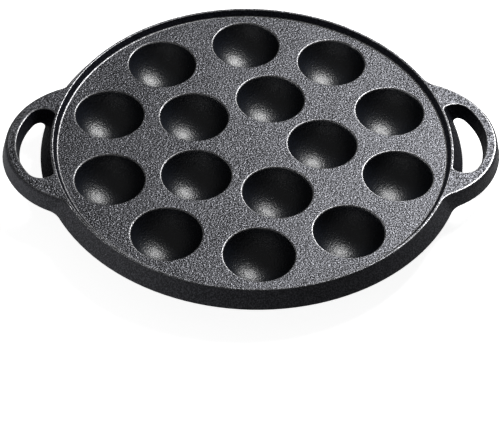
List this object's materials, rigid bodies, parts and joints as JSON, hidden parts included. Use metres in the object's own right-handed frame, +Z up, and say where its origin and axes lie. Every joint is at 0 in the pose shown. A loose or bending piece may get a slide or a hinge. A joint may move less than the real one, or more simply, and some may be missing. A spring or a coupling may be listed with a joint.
{
  "type": "takoyaki pan",
  "caption": "Round cast iron pan with rings of half-round cavities in its plate, a low raised rim and two loop handles.",
  "frame": {"origin": "under the middle of the plate, on the surface that the pan stands on", "axes": "+Z up, +X towards one handle, so that both handles lie along X"},
  "size_m": [0.2832, 0.2402, 0.025],
  "materials": {
    "cast_iron": "seasoned black, fine sand-cast grain on the plate, rim and handles, smooth in the cavities"
  },
  "bodies": {
    "root": {"pan": "cast_iron"}
  },
  "joints": []
}
